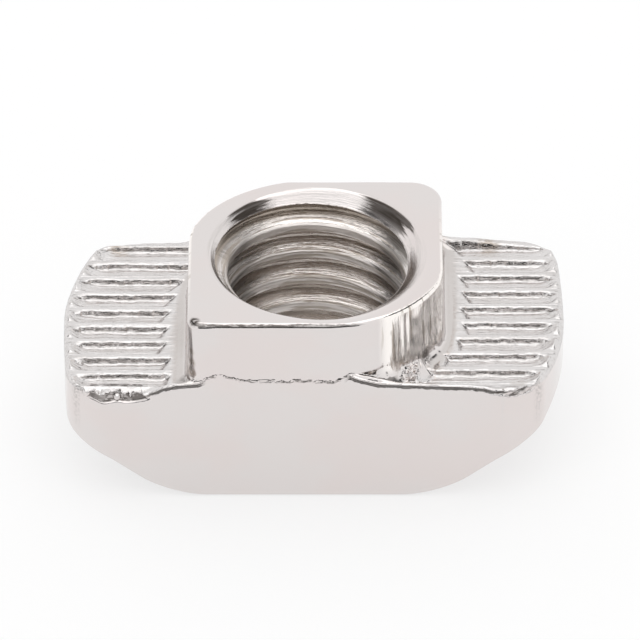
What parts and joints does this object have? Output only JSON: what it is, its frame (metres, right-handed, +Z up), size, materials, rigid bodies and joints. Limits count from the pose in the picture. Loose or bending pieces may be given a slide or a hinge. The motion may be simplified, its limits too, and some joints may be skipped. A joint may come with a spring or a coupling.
{
  "type": "t slot nut",
  "caption": "Hammer head T slot nut in plated steel: toothed wings with slanted ends under a square boss with swept corners, threaded right through for a machine bolt.",
  "frame": {"origin": "on the thread axis, in the plane of the flat underside", "axes": "+X along the head from wing to wing, +Y to the back, +Z up the thread and out of the boss"},
  "size_m": [0.019, 0.0094, 0.0081],
  "materials": {
    "nickel_plated_steel": "bright nickel plating over cold forged steel, with a faint haze"
  },
  "bodies": {
    "root": {"slot_nut": "nickel_plated_steel"}
  },
  "joints": []
}
